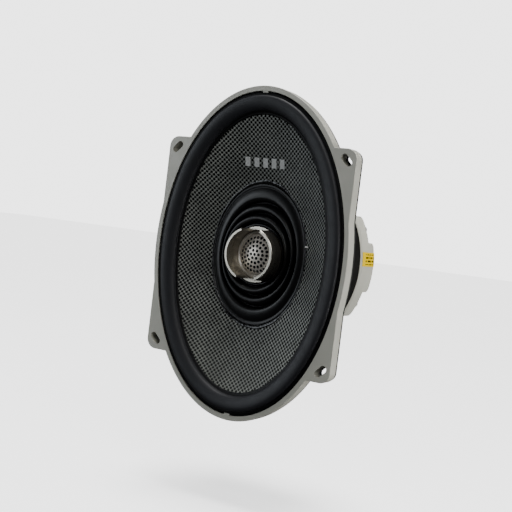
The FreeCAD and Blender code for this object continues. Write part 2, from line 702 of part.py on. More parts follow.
def wing_front_cover():
    """A black crescent in the wing's rebate, which closes its front beside the floor."""
    room = REBATE_R - 0.1
    half = TIER_Z[0] - WING_WALL - 0.2
    near = WING_IN_X + WING_WALL + 0.2
    front, back = WING_COVER_FRONT, WING_COVER_BACK
    plate = ring(room, RING_R + 0.2, front, back).common(block(near, 80, front, back, -half, half))
    for level in (-1, 1):
        z = level * WING_SCREW_Z
        plate = plate.cut(disc(WING_SCREW_R, front - 1, back + 1, WING_SCREW_X, z))
    return plate


def crossover_cover():
    return wing_front_cover()


def wing_cover():
    return on_both_sides(wing_front_cover())[1]


def wing_screws():
    back = TIER_BACK[0]
    top = back + WING_HEAD_TALL
    head = disc(WING_HEAD_R, back, top, WING_SCREW_X, WING_SCREW_Z)
    screw = fused([
        head.makeFillet(1.0, edges_at(head, top)),
        disc(WING_SCREW_R, WING_COVER_FRONT + 0.3, back, WING_SCREW_X, WING_SCREW_Z),
    ])
    screw = screw.cut(disc(1.0, back + 0.8, top + 1, WING_SCREW_X, WING_SCREW_Z))
    lower = screw.mirror(Vector(0, 0, 0), Vector(0, 0, 1))
    return Part.makeCompound(on_both_sides(screw) + on_both_sides(lower))


def crossover_board():
    inner = WING_IN_X + WING_WALL + 0.3
    board = block(inner, 80, BOARD_FRONT, BOARD_BACK, -BOARD_HALF, BOARD_HALF)
    return board.common(disc(WING_R - WING_WALL - 0.6, BOARD_FRONT - 1, BOARD_BACK + 1))


def crossover_capacitor():
    foot = Vector(*CAPACITOR_AT)
    body = Part.makeCylinder(CAPACITOR_R, CAPACITOR_LONG, foot, Vector(0, 0, 1))
    return body.makeFillet(0.6, [e for e in body.Edges if len(e.Vertexes) == 1])


def crossover_coil():
    """An air-cored coil on a flanged bobbin."""
    x, z = INDUCTOR_X, INDUCTOR_Z
    front, back = BOARD_BACK, BOARD_BACK + BOBBIN_LONG
    body = fused([
        disc(BOBBIN_R, front, front + BOBBIN_WALL, x, z),
        disc(INDUCTOR_R, front + BOBBIN_WALL, back - BOBBIN_WALL, x, z),
        disc(BOBBIN_R, back - BOBBIN_WALL, back, x, z),
    ])
    return body.cut(disc(BOBBIN_BORE_R, front - 1, back + 1, x, z))


def crossover_resistor():
    (x0, y0, z0), (x1, y1, z1) = RESISTOR_LOW, RESISTOR_HIGH
    return block(x0, x1, y0, y1, z0, z1)


def terminal_block():
    """The block in the wing's rear window, which carries the tabs and takes the tweeter's lead."""
    back = TIER_BACK[1]
    x = TERMINAL_X
    body = fused([
        block(x - PLUG_X, x + PLUG_X, back - WING_WALL - PLUG_DEEP, back, -PLUG_Z, PLUG_Z),
        block(x - PLATE_X, x + PLATE_X, back, back + PLATE_TALL, -PLATE_Z, PLATE_Z),
        disc(GLAND_R, back + PLATE_TALL, back + GLAND_TALL, x, 0.0),
    ])
    for z, half in INPUT_TABS + TWEETER_TABS:
        body = body.cut(tab_room(z, half))
    return body


def tab_room(z, half):
    """The slot that a tab of the given half width passes through."""
    back = TIER_BACK[1]
    thick = TAB_THICK / 2
    return block(TERMINAL_X - half, TERMINAL_X + half, back - 9, back + 7, z - thick, z + thick)


def tabs(places):
    back = TIER_BACK[1]
    x = TERMINAL_X
    made = []
    thick = TAB_THICK / 2
    for z, half in places:
        tab = block(x - half, x + half, back - TAB_ROOT, back + TAB_REACH, z - thick, z + thick)
        tip = edges_at(tab, back + TAB_REACH)
        tip = [e for e in tip if abs(abs(e.CenterOfMass.x - x) - half) < 1e-6]
        tab = tab.makeChamfer(0.8, tip)
        place = Vector(x, back + TAB_HOLE_Y, z - 2)
        made.append(tab.cut(Part.makeCylinder(TAB_HOLE_R, 4, place, Vector(0, 0, 1))))
    return Part.makeCompound(made)


def input_tabs():
    return tabs(INPUT_TABS)


def tweeter_tabs():
    return tabs(TWEETER_TABS)


def jumper_straps():
    """The two removable links between each input tab and its tweeter tab."""
    back = TIER_BACK[1]
    x = TERMINAL_X
    made = []
    for level in (-1, 1):
        low, high = sorted((level * STRAP_Z[0], level * STRAP_Z[1]))
        front, rear = back + STRAP_Y[0], back + STRAP_Y[1]
        strap = block(x - STRAP_X, x + STRAP_X, front, rear, low, high)
        for z, half in INPUT_TABS + TWEETER_TABS:
            if z * level > 0:
                strap = strap.cut(tab_room(z, half))
        made.append(strap)
    return Part.makeCompound(made)


def warning_label():
    """A thin yellow label on the right-hand wing, folded over its rear edge."""
    thick, back = LABEL_THICK, TIER_BACK[1]
    front = WING_FRONT + WING_RIM
    side = ring(WING_R + thick, WING_R, front, back + thick)
    side = side.common(block(50, 80, front, 60, LABEL_LOW, LABEL_HIGH))
    flap = ring(WING_R + thick, WING_R - 2.0, back, back + thick)
    flap = flap.common(block(LABEL_FLAP_X, 80, 50, 60, LABEL_LOW, LABEL_HIGH))
    return fused([side, flap])


# ---- flexible leads -----------------------------------------------------------------------------

def lead_tag():
    """The small metal lead end that shows on the cone beside the boot."""
    y = cone_station(cone_share(LEAD_TAG_X, LEAD_Z))[2]
    slope = math.degrees(math.atan2(NECK_Y - CONE_FRONT, CONE_X - NECK_R))
    half, wide = LEAD_TAG_LONG / 2, LEAD_TAG_WIDE / 2
    tag = block(-half, half, -LEAD_TAG_THICK, 0, -wide, wide)
    tag.rotate(Vector(0, 0, 0), Vector(0, 0, 1), -slope)
    tag.translate(Vector(LEAD_TAG_X, y - 0.8, LEAD_Z))
    return tag


def eyelet_place(level):
    """Where an eyelet meets the cone's back, and the way it points, square to the cone."""
    x, z = EYELET_X, level * LEAD_Z
    y = cone_station(cone_share(x, z))[2] + CONE_THICK
    outwards = Vector(NECK_Y - CONE_FRONT, CONE_X - NECK_R, 0).normalize()
    return Vector(x, y, z), outwards


def lead_eyelets():
    """The rivets behind the cone that the flexible leads are soldered to."""
    made = []
    for level in (-1, 1):
        foot, outwards = eyelet_place(level)
        made.append(Part.makeCylinder(EYELET_R, EYELET_LONG, foot + outwards * 0.1, outwards))
    return Part.makeCompound(made)


def lead_wires():
    """The two flexible leads, each in a loop from its eyelet to the strip."""
    made = []
    for level in (-1, 1):
        foot, outwards = eyelet_place(level)
        start = foot + outwards * (EYELET_LONG + 0.2)
        points = [
            start,
            start + Vector(1.9, 3.2, 0),
            start + Vector(6.0, 4.3, level * 0.8),
            start + Vector(9.4, 1.2, level * 0.8),
            start + Vector(13.0, 1.0, 0),
            Vector(start.x + 13.0, RING_FRONT - 1.7, start.z),
        ]
        made.append(tube_along(points, LEAD_BENDS, LEAD_R))
    return Part.makeCompound(made)


def lead_strip():
    """The small fibre board on the spider ring where the flexible leads end."""
    return block(*STRIP_X, STRIP_FRONT, RING_FRONT, -STRIP_HALF, STRIP_HALF)


# ---- output -------------------------------------------------------------------------------------

NODES = (
    basket, flange_gasket, surround, cone, cone_glue_bead, dust_boot, lead_tag, spider,
    voice_coil_former, voice_coil_winding, former_collar, top_plate, plate_screws, magnet_ring,
    pole_yoke, shorting_ring, magnet_cover, vent_screen, tweeter_housing, tweeter_trim_ring,
    tweeter_screen, tweeter_dome, tweeter_surround, tweeter_clamp, tweeter_former,
    tweeter_winding, tweeter_pole_piece, tweeter_magnet, tweeter_yoke, tweeter_lead,
    crossover_cover, wing_cover, wing_screws, crossover_board, crossover_capacitor,
    crossover_coil, crossover_resistor, terminal_block, input_tabs, tweeter_tabs, jumper_straps,
    warning_label, lead_eyelets, lead_wires, lead_strip,
)


def main():
    os.makedirs("parts", exist_ok=True)
    for make in NODES:
        shape = make()
        box = shape.BoundBox
        print(f"{make.__name__:22s} valid {shape.isValid()} solids {len(shape.Solids)} "
              f"volume {shape.Volume:10.1f} y {box.YMin:7.2f} {box.YMax:7.2f}")
        shape.exportStep(f"parts/{make.__name__}.step")


main()
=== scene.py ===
# The look of the coaxial car speaker, in metres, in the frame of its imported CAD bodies.

import math

import bmesh
import bpy
import numpy as np
from mathutils import Matrix, Vector


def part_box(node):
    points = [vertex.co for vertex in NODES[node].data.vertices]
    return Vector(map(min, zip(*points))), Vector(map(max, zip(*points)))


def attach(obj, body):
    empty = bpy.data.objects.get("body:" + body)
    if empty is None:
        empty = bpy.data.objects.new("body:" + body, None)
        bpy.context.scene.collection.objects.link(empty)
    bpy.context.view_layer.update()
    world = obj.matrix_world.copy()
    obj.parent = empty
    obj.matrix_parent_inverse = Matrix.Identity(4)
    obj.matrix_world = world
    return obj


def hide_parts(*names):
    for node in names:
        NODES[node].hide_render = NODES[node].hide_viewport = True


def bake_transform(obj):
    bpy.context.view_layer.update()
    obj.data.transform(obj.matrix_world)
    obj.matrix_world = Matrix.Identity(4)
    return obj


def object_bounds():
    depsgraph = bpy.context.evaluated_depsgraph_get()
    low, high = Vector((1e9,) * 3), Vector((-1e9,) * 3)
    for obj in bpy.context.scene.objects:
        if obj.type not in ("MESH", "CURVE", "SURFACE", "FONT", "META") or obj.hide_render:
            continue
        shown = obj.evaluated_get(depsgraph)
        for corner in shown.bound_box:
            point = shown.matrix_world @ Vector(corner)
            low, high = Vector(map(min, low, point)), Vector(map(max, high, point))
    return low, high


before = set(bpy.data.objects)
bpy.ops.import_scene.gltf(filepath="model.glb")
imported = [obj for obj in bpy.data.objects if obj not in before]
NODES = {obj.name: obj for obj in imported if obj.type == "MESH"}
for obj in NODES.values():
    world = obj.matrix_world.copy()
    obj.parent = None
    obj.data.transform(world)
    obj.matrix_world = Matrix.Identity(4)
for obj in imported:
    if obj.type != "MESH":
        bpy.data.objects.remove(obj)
cad_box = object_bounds()
MM = 0.001

# ---- sizes read from the frame ------------------------------------------------------------------


def half_size(node):
    """Half the node's width and height, and its front and rear y."""
    low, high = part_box(node)
    return (high.x - low.x) / 2, (high.z - low.z) / 2, low.y, high.y


CONE_X, CONE_Z, CONE_FRONT, CONE_BACK = half_size("cone")
CONE_THICK = 0.9 * MM
FORMER_R = half_size("voice_coil_former")[0]
NECK_R = FORMER_R + 0.15 * MM
NECK_Y = CONE_BACK - CONE_THICK
LAND_X, LAND_Z, ROLL_TOP, _ = half_size("surround")
BOOT_X, BOOT_Z, _, _ = half_size("dust_boot")
TUBE_R = half_size("tweeter_housing")[0]
SPIDER_R, _, SPIDER_FRONT, SPIDER_BACK = half_size("spider")
FLANGE_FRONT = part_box("basket")[0].y

# ---- meshes -------------------------------------------------------------------------------------


def new_object(name, vertices, faces, smooth=True):
    mesh = bpy.data.meshes.new(name)
    mesh.from_pydata([tuple(v) for v in vertices], [], faces)
    mesh.validate()
    mesh.update()
    if smooth:
        mesh.polygons.foreach_set("use_smooth", [True] * len(mesh.polygons))
    piece = bpy.data.objects.new(name, mesh)
    bpy.context.scene.collection.objects.link(piece)
    return piece


def outward(piece):
    """Turns every face's normal outwards."""
    work = bmesh.new()
    work.from_mesh(piece.data)
    bmesh.ops.recalc_face_normals(work, faces=work.faces)
    work.to_mesh(piece.data)
    work.free()
    return piece


def oval_loop(half_x, half_z, y, count):
    turns = [2 * math.pi * step / count for step in range(count)]
    return [(half_x * math.cos(t), y, half_z * math.sin(t)) for t in turns]


def oval_ring(name, stations, count=256, closed=True):
    """A ring through (half x, half z, y) stations; closed joins the last one to the first."""
    vertices = [point for station in stations for point in oval_loop(*station, count)]
    rings = len(stations)
    faces = []
    for i in range(rings if closed else rings - 1):
        for j in range(count):
            here, there = i * count, (i + 1) % rings * count
            after = (j + 1) % count
            faces.append((here + j, here + after, there + after, there + j))
    return outward(new_object(name, vertices, faces))


def thickened(front, thick):
    """Closes an open run of stations with a back face set off square to it."""
    points = np.array(front)
    along = np.gradient(points, axis=0)
    reach = (along[:, 0] + along[:, 1]) / 2
    length = np.hypot(reach, along[:, 2])
    length[length == 0] = 1.0
    back = points.copy()
    back[:, 0] += thick * along[:, 2] / length
    back[:, 1] += thick * along[:, 2] / length
    back[:, 2] -= thick * reach / length
    return [tuple(p) for p in points] + [tuple(p) for p in back[::-1]]


def bend_between(piece):
    """Bakes the piece's transform into its mesh."""
    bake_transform(piece)
    return piece


def smooth_step(value):
    value = min(max(value, 0.0), 1.0)
    return value * value * (3 - 2 * value)


# ---- shader nodes -------------------------------------------------------------------------------


def tone(red, green, blue):
    """A screen colour from 0 to 255, as the linear colour a shader takes."""
    screen = [v / 255 for v in (red, green, blue)]
    linear = [((v + 0.055) / 1.055) ** 2.4 if v > 10 / 255 else v / 12.92 for v in screen]
    return (*linear, 1.0)


class Shader:
    """One material, with short ways to add the nodes that it needs."""

    def __init__(self, name, color, roughness, metallic=0.0, **fixed):
        self.material = bpy.data.materials.new(name)
        self.material.use_nodes = True
        self.tree = self.material.node_tree
        self.surface = next(n for n in self.tree.nodes if n.type == "BSDF_PRINCIPLED")
        self.put("Base Color", color)
        self.put("Roughness", roughness)
        self.put("Metallic", metallic)
        for socket, value in fixed.items():
            self.put(socket.replace("_", " "), value)

    def put(self, socket, value):
        target = self.surface.inputs[socket]
        if isinstance(value, bpy.types.NodeSocket):
            self.tree.links.new(value, target)
        else:
            target.default_value = value

    def node(self, kind, inputs=(), **settings):
        made = self.tree.nodes.new(kind)
        for key, value in settings.items():
            setattr(made, key, value)
        for key, value in dict(inputs).items():
            if isinstance(value, bpy.types.NodeSocket):
                self.tree.links.new(value, made.inputs[key])
            else:
                made.inputs[key].default_value = value
        return made

    def place(self):
        """The point on the object, in metres."""
        return self.node("ShaderNodeTexCoord").outputs["Object"]

    def math(self, operation, first, second=0.0):
        return self.node("ShaderNodeMath", {0: first, 1: second}, operation=operation).outputs[0]

    def dot(self, vector, direction):
        made = self.node("ShaderNodeVectorMath", {0: vector, 1: direction}, operation="DOT_PRODUCT")
        return made.outputs["Value"]

    def noise(self, scale, detail=3.0, vector=None, roughness=0.5):
        vector = vector or self.place()
        settings = {"Vector": vector, "Scale": scale, "Detail": detail, "Roughness": roughness}
        return self.node("ShaderNodeTexNoise", settings).outputs["Fac"]

    def spread(self, value, low, high, from_low=0.3, from_high=0.7):
        settings = {
            "Value": value, "From Min": from_low, "From Max": from_high,
            "To Min": low, "To Max": high,
        }
        return self.node("ShaderNodeMapRange", settings).outputs["Result"]

    def mix(self, share, first, second):
        settings = {"Factor": share, "A": first, "B": second}
        made = self.tree.nodes.new("ShaderNodeMix")
        made.data_type = "RGBA"
        sockets = {"Factor": made.inputs[0], "A": made.inputs[6], "B": made.inputs[7]}
        for key, value in settings.items():
            if isinstance(value, bpy.types.NodeSocket):
                self.tree.links.new(value, sockets[key])
            else:
                sockets[key].default_value = value
        return made.outputs[2]

    def bump(self, height, strength, distance):
        settings = {"Height": height, "Strength": strength, "Distance": distance}
        self.put("Normal", self.node("ShaderNodeBump", settings).outputs["Normal"])

    def mottled(self, first, second, scale, detail=3.0):
        """Base colour that drifts between two tones."""
        share = self.spread(self.noise(scale, detail), 0.0, 1.0)
        self.put("Base Color", self.mix(share, first, second))

    def worn_gloss(self, low, high, scale):
        self.put("Roughness", self.spread(self.noise(scale, 4.0), low, high))


# ---- materials ----------------------------------------------------------------------------------


def frame_paint():
    made = Shader("frame_paint", tone(173, 172, 161), 0.45, Coat_Weight=0.12, Coat_Roughness=0.3)
    made.mottled(tone(169, 168, 157), tone(177, 176, 165), 60)
    made.worn_gloss(0.38, 0.52, 220)
    made.bump(made.noise(2600, 2.0), 0.10, 0.0002)
    return made.material


def foam():
    made = Shader("gasket_foam", tone(24, 24, 25), 0.92)
    made.mottled(tone(18, 18, 19), tone(34, 34, 35), 1500)
    made.bump(made.noise(1800, 3.0), 0.5, 0.0004)
    return made.material


def surround_rubber():
    made = Shader("surround_rubber", tone(20, 22, 27), 0.56, Specular_IOR_Level=0.42)
    made.mottled(tone(17, 18, 22), tone(22, 23, 28), 90)
    made.worn_gloss(0.52, 0.60, 160)
    made.bump(made.noise(2200, 3.0), 0.06, 0.0001)
    return made.material


def boot_rubber():
    made = Shader("boot_rubber", tone(3, 3, 4), 0.36, Specular_IOR_Level=0.37)
    made.mottled(tone(1, 1, 2), tone(3, 3, 4), 120)
    made.worn_gloss(0.33, 0.39, 180)
    made.bump(made.noise(1800, 2.0), 0.03, 0.00005)
    return made.material


# near-black painted shade for the surround's land and lip, where the roll's feet lie in shadow
def painted_edge_shade():
    made = Shader("painted_edge_shade", tone(3, 3, 4), 0.5, Specular_IOR_Level=0.2)
    made.mottled(tone(2, 2, 3), tone(5, 5, 6), 200)
    made.bump(made.noise(600, 3.0), 0.3, 0.0003)
    return made.material


def glue():
    made = Shader("black_glue", tone(8, 8, 9), 0.15)
    made.worn_gloss(0.08, 0.3, 300)
    made.bump(made.noise(700, 3.0), 0.5, 0.0006)
    return made.material


WEAVE_PITCH = 2.3 * MM
MARK_X, MARK_Z = 0.8 * MM, 65.5 * MM     # five plain bars printed on the cone
MARK_WIDE, MARK_TALL, MARK_BARS = 35.0 * MM, 6.5 * MM, 5
DRAPE, DRAPE_X, DRAPE_Z = 0.14, 60.0 * MM, 45.0 * MM   # how much cloth the steep sides take up


def weave():
    """Grey yarns at 45 degrees over and under each other, with black between them."""
    made = Shader("cone_weave", tone(110, 110, 108), 0.5)
    parts = made.node("ShaderNodeSeparateXYZ", {0: made.place()})
    level = made.math("MULTIPLY", parts.outputs[2], 1 / DRAPE_Z)
    fall = made.math("EXPONENT", made.math("MULTIPLY", made.math("MULTIPLY", level, level), -1.0))
    reach = made.math("MULTIPLY", made.math("ABSOLUTE", parts.outputs[0]), DRAPE / DRAPE_X)
    stretch = made.math("ADD", 1.0, made.math("MULTIPLY", reach, fall))
    along = made.math("MULTIPLY", parts.outputs[0], stretch)
    place = made.node("ShaderNodeCombineXYZ", {0: along, 2: parts.outputs[2]}).outputs[0]
    slant = math.sqrt(0.5) / WEAVE_PITCH
    across = made.dot(place, (slant, 0, slant))
    down = made.dot(place, (slant, 0, -slant))
    cell_a, cell_b = made.math("FLOOR", across), made.math("FLOOR", down)
    off_a = made.math("ABSOLUTE", made.math("SUBTRACT", made.math("FRACT", across), 0.5))
    off_b = made.math("ABSOLUTE", made.math("SUBTRACT", made.math("FRACT", down), 0.5))
    round_a = made.math("COSINE", made.math("MULTIPLY", off_a, math.pi))
    round_b = made.math("COSINE", made.math("MULTIPLY", off_b, math.pi))
    over = made.math("MULTIPLY", made.math("ADD", cell_a, cell_b), 0.5)
    over = made.math("GREATER_THAN", made.math("FRACT", over), 0.25)
    float_a = made.math("MULTIPLY", round_a, made.spread(round_b, 0.55, 1.0, 0.0, 1.0))
    float_b = made.math("MULTIPLY", round_b, made.spread(round_a, 0.55, 1.0, 0.0, 1.0))
    difference = made.math("SUBTRACT", float_a, float_b)
    height = made.math("ADD", float_b, made.math("MULTIPLY", over, difference))
    corner_a, corner_b = made.math("SUBTRACT", 0.5, off_a), made.math("SUBTRACT", 0.5, off_b)
    gap = made.math("SQRT", made.math("ADD", made.math("MULTIPLY", corner_a, corner_a),
                                      made.math("MULTIPLY", corner_b, corner_b)))
    solid = made.spread(gap, 0.0, 1.0, 0.35, 0.42)
    drift = made.spread(made.noise(45, 3.0), 0.0, 1.0)
    yarn = made.mix(drift, tone(112, 115, 110), tone(140, 143, 137))
    # painted shade: the yarn is darkened towards dark grey where the weave dips under the crossing yarn
    yarn = made.mix(made.spread(height, 0.0, 1.0, 0.35, 0.75), tone(60, 62, 60), yarn)
    bars = made.math("SUBTRACT", parts.outputs[0], MARK_X - MARK_WIDE / 2)
    bars = made.math("MULTIPLY", bars, MARK_BARS / MARK_WIDE)
    bar = made.math("LESS_THAN", made.math("FRACT", bars), 0.55)
    mark = ((parts.outputs[0], MARK_X, MARK_WIDE / 2), (parts.outputs[2], MARK_Z, MARK_TALL / 2))
    for value, middle, half in mark:
        off = made.math("ABSOLUTE", made.math("SUBTRACT", value, middle))
        bar = made.math("MULTIPLY", bar, made.math("LESS_THAN", off, half))
    # painted light and shade: towards the bottom of the cone the yarn is painted darker and the holes
    # lighter
    painted_low_light_and_shade = made.spread(parts.outputs[2], 1.0, 0.0, -0.100, -0.030)
    yarn = made.mix(painted_low_light_and_shade, yarn, made.mix(drift, tone(96, 98, 92), tone(120, 122, 115)))
    hole = made.mix(painted_low_light_and_shade, tone(2, 2, 2), tone(44, 45, 43))
    cloth_color = made.mix(solid, hole, yarn)
    made.put("Base Color", made.mix(made.math("MULTIPLY", bar, 0.85), cloth_color, tone(205, 206, 204)))
    made.put("Roughness", made.spread(height, 0.62, 0.42, 0.0, 1.0))
    made.put("Specular IOR Level", made.math("MULTIPLY", solid, 0.5))
    made.bump(height, 0.35, 0.00035)
    return made.material


def metal(name, color, roughness, scratch=0.15, turned=False, share=1.0):
    """Bare or plated metal with fine tool marks, round the axis where it was turned."""
    made = Shader(name, color, roughness, share)
    place = made.place()
    if turned:
        parts = made.node("ShaderNodeSeparateXYZ", {0: place})
        square = made.math("ADD", made.math("MULTIPLY", parts.outputs[0], parts.outputs[0]),
                           made.math("MULTIPLY", parts.outputs[2], parts.outputs[2]))
        radius = made.math("SQRT", square)
        lines = made.node("ShaderNodeCombineXYZ", {0: radius, 1: parts.outputs[1]}).outputs[0]
        grain = made.noise(5000, 2.0, lines)
    else:
        grain = made.noise(900, 3.0, place)
    made.put("Roughness", made.spread(grain, roughness * 0.85, roughness * 1.15))
    made.bump(grain, scratch, 0.00002)
    return made.material


SCREEN_R, SCREEN_RISE = 14.4 * MM, 5.1 * MM             # the domed part of the tweeter's screen


def screen_metal():
    """Satin nickel outside; the hole walls and the back are painted black as shade, where no light comes
    back.
    """
    low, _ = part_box("tweeter_screen")
    rise = SCREEN_RISE
    ball = SCREEN_R ** 2 / (2 * rise) + rise / 2
    made = Shader("screen_nickel", tone(206, 200, 190), 0.45, 0.55)
    place = made.place()
    middle = (0, low.y + ball, 0)
    inward = made.node("ShaderNodeVectorMath", {0: place, 1: middle}, operation="SUBTRACT").outputs[0]
    depth = made.node("ShaderNodeVectorMath", {0: inward}, operation="LENGTH").outputs["Value"]
    skin = made.spread(depth, 0.0, 1.0, ball - 0.10 * MM, ball - 0.03 * MM)
    flat = made.math("GREATER_THAN", made.node("ShaderNodeSeparateXYZ", {0: place}).outputs[1], low.y + rise)
    skin = made.math("MAXIMUM", skin, flat)
    drift = made.mix(made.spread(made.noise(300, 3.0), 0.0, 1.0), tone(216, 210, 201), tone(232, 226, 217))
    # painted shade: near-black inside the holes and behind the dome
    made.put("Base Color", made.mix(skin, tone(6, 6, 6), drift))
    made.put("Metallic", made.math("MULTIPLY", skin, 0.55))
    made.put("Roughness", made.spread(skin, 1.0, 0.45, 0.0, 1.0))
    made.put("Specular IOR Level", made.math("MULTIPLY", skin, 0.5))
    return made.material


SCREW_HEAD_Y = 38 * MM


def wing_screw_steel():
    """Plated heads at the back; the ends in front are painted near-black as shade, where they show in the
    dark gap behind the flange.
    """
    made = Shader("wing_screw_steel", tone(206, 202, 192), 0.28, 1.0)
    depth = made.node("ShaderNodeSeparateXYZ", {0: made.place()}).outputs[1]
    rear = made.math("GREATER_THAN", depth, SCREW_HEAD_Y)
    # painted shade: the screws' front ends are near-black
    made.put("Base Color", made.mix(rear, tone(26, 26, 27), tone(206, 202, 192)))
    made.put("Roughness", made.spread(made.noise(900), 0.24, 0.34))
    return made.material


def plastic(name, low, high, roughness):
    made = Shader(name, low, roughness)
    made.mottled(low, high, 200)
    made.worn_gloss(roughness * 0.95, roughness * 1.05, 300)
    made.bump(made.noise(3000, 2.0), 0.15, 0.0001)
    return made.material


def label_vinyl():
    """Plain yellow vinyl with three rows of short dark dashes that spell nothing."""
    made = Shader("label_yellow", tone(192, 160, 0), 0.6, Specular_IOR_Level=0.0)
    parts = made.node("ShaderNodeSeparateXYZ", {0: made.place()})
    low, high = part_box("warning_label")
    up = made.spread(parts.outputs[2], 0.0, 1.0, low.z, high.z)
    along = made.math("MULTIPLY", parts.outputs[1], 1 / (1.5 * MM))
    rows = made.math("MULTIPLY", up, 4.0)
    off_row = made.math("ABSOLUTE", made.math("SUBTRACT", made.math("FRACT", rows), 0.5))
    in_row = made.math("LESS_THAN", off_row, 0.25)
    inner = made.math("LESS_THAN", made.math("ABSOLUTE", made.math("SUBTRACT", up, 0.5)), 0.375)
    rear = made.math("GREATER_THAN", parts.outputs[1], low.y + 5 * MM)
    dash = made.math("GREATER_THAN", made.noise(1.0, 0.0, made.node(
        "ShaderNodeCombineXYZ", {0: along, 1: made.math("FLOOR", rows)}).outputs[0]), 0.45)
    mark = made.math("MULTIPLY", made.math("MULTIPLY", in_row, inner), made.math("MULTIPLY", rear, dash))
    drift = made.spread(made.noise(150, 2.0), 0.0, 1.0)
    base = made.mix(drift, tone(205, 172, 0), tone(211, 179, 0))
    made.put("Base Color", made.mix(mark, base, tone(24, 20, 10)))
    made.bump(made.noise(900, 2.0), 0.08, 0.0001)
    return made.material


def cloth(name, low, high, pitch):
    """Impregnated woven cloth, with painted shade in the troughs of the weave and lighter crests."""
    made = Shader(name, low, 0.75)
    place = made.place()
    waves = [made.math("SINE", made.math("MULTIPLY", made.dot(place, axis), 2 * math.pi / pitch))
             for axis in ((1, 0, 0), (0, 0, 1))]
    height = made.math("MULTIPLY", waves[0], waves[1])
    # painted shade and highlight: the weave's troughs take the darker tone and its crests the lighter one
    made.put("Base Color", made.mix(made.spread(height, 0.0, 1.0, -1.0, 1.0), low, high))
    made.bump(height, 0.4, 0.0003)
    return made.material


PAINT = {
    "basket": frame_paint(),
    "flange_gasket": foam(),
    "cone": weave(),
    "surround": surround_rubber(),
    "dust_boot": boot_rubber(),
    "cone_glue_bead": glue(),
    "painted_edge_shade": painted_edge_shade(),
    "spider": cloth("spider_cloth", tone(176, 142, 84), tone(204, 172, 112), 0.9 * MM),
    "tweeter_housing": metal("tube_nickel", tone(178, 174, 163), 0.30, 0.03, turned=True, share=0.95),
    "tweeter_trim_ring": metal("trim_chrome", tone(232, 228, 220), 0.34, 0.02, turned=True, share=0.8),
    "tweeter_screen": screen_metal(),
    "magnet": plastic("ferrite", tone(52, 52, 54), tone(66, 66, 68), 0.6),
    "zinc": metal("zinc_steel", tone(188, 190, 190), 0.38),
    "copper": metal("copper", tone(205, 128, 82), 0.32),
    "brass": metal("tinned_brass", tone(214, 190, 130), 0.3),
    "lead": metal("tinned_lead", tone(196, 192, 184), 0.35, 0.4),
    # the tinned lead tag is near-white and mostly non-metal, so its colour also stands in as a painted glint
    "tag": metal("painted_glint_tag", tone(246, 244, 238), 0.4, 0.05, share=0.2),
    "screw": metal("plated_screw", tone(206, 202, 192), 0.28),
    "wing_screw": wing_screw_steel(),
    "black_plastic": plastic("black_plastic", tone(20, 20, 21), tone(27, 27, 28), 0.55),
    "cover_rubber": plastic("cover_rubber", tone(22, 22, 23), tone(30, 30, 31), 0.7),
    "label": label_vinyl(),
    "board": plastic("board_green", tone(16, 84, 48), tone(22, 98, 58), 0.35),
    "fibre": plastic("fibre_board", tone(96, 62, 38), tone(112, 74, 46), 0.7),
    "cement": plastic("cement", tone(206, 202, 192), tone(220, 216, 206), 0.8),
    "film": plastic("capacitor_film", tone(190, 120, 30), tone(204, 134, 40), 0.3),
    "braid": cloth("tinsel_braid", tone(150, 124, 92), tone(206, 190, 160), 0.35 * MM),
    "silk": cloth("dome_silk", tone(20, 20, 21), tone(36, 36, 38), 0.3 * MM),
}

FINISH = {
    "basket": "basket", "tweeter_housing": "tweeter_housing", "tweeter_screen": "tweeter_screen",
    "vent_screen": "zinc", "magnet_ring": "magnet", "top_plate": "zinc", "pole_yoke": "zinc",
    "tweeter_yoke": "zinc", "tweeter_pole_piece": "zinc", "tweeter_magnet": "tweeter_trim_ring",
    "shorting_ring": "copper", "voice_coil_winding": "copper", "tweeter_winding": "copper",
    "crossover_coil": "copper", "voice_coil_former": "lead", "tweeter_former": "lead",
    "former_collar": "fibre", "lead_strip": "fibre", "lead_tag": "tag", "lead_eyelets": "lead",
    "plate_screws": "screw", "wing_screws": "wing_screw", "magnet_cover": "cover_rubber",
    "tweeter_lead": "cover_rubber", "crossover_cover": "black_plastic", "wing_cover": "black_plastic",
    "terminal_block": "black_plastic", "tweeter_clamp": "black_plastic", "input_tabs": "brass",
    "tweeter_tabs": "brass", "jumper_straps": "brass", "warning_label": "label",
    "crossover_board": "board", "crossover_resistor": "cement", "crossover_capacitor": "film",
    "tweeter_dome": "silk",
}


def paint(piece, finish):
    piece.data.materials.clear()
    piece.data.materials.append(PAINT[finish])
    return piece


def paint_cad_nodes():
    for node, finish in FINISH.items():
        slots = NODES[node].material_slots
        for place in slots:
            place.material = PAINT[finish]


# ---- cone ---------------------------------------------------------------------------------------

YARN_STEPS = 4                           # grid cells across a yarn
YARN_RELIEF, SHEET_BACK = 0.16 * MM, 0.02 * MM
SHEET_THICK = CONE_THICK * 0.6

def cone_station(share, lift=0.0):
    """Half x, half z and y on the cone's front, a share of the way down, lifted off forwards."""
    return (
        CONE_X + (NECK_R - CONE_X) * share,
        CONE_Z + (NECK_R - CONE_Z) * share,
        CONE_FRONT + (NECK_Y - CONE_FRONT) * share - lift,
    )


def cone_shares(x, z):
    """The share of the slope at which the cone's front passes through each x and z."""
    low, high = np.full(x.shape, -0.2), np.full(x.shape, 1.2)
    for _ in range(40):
        middle = (low + high) / 2
        half_x, half_z, _ = cone_station(middle)
        inside = (x / half_x) ** 2 + (z / half_z) ** 2 < 1
        low, high = np.where(inside, middle, low), np.where(inside, high, middle)
    return low


def weave_height(across, down):
    """Height of a plain weave's surface, from 0 to 1, at places counted in yarns."""
    round_a = np.abs(np.cos(math.pi * (across - np.floor(across) - 0.5)))
    round_b = np.abs(np.cos(math.pi * (down - np.floor(down) - 0.5)))
    over = (np.floor(across) + np.floor(down)) % 2 > 0.5
    float_a = round_a * (0.55 + 0.45 * round_b)
    float_b = round_b * (0.55 + 0.45 * round_a)
    return np.where(over, float_a, float_b)


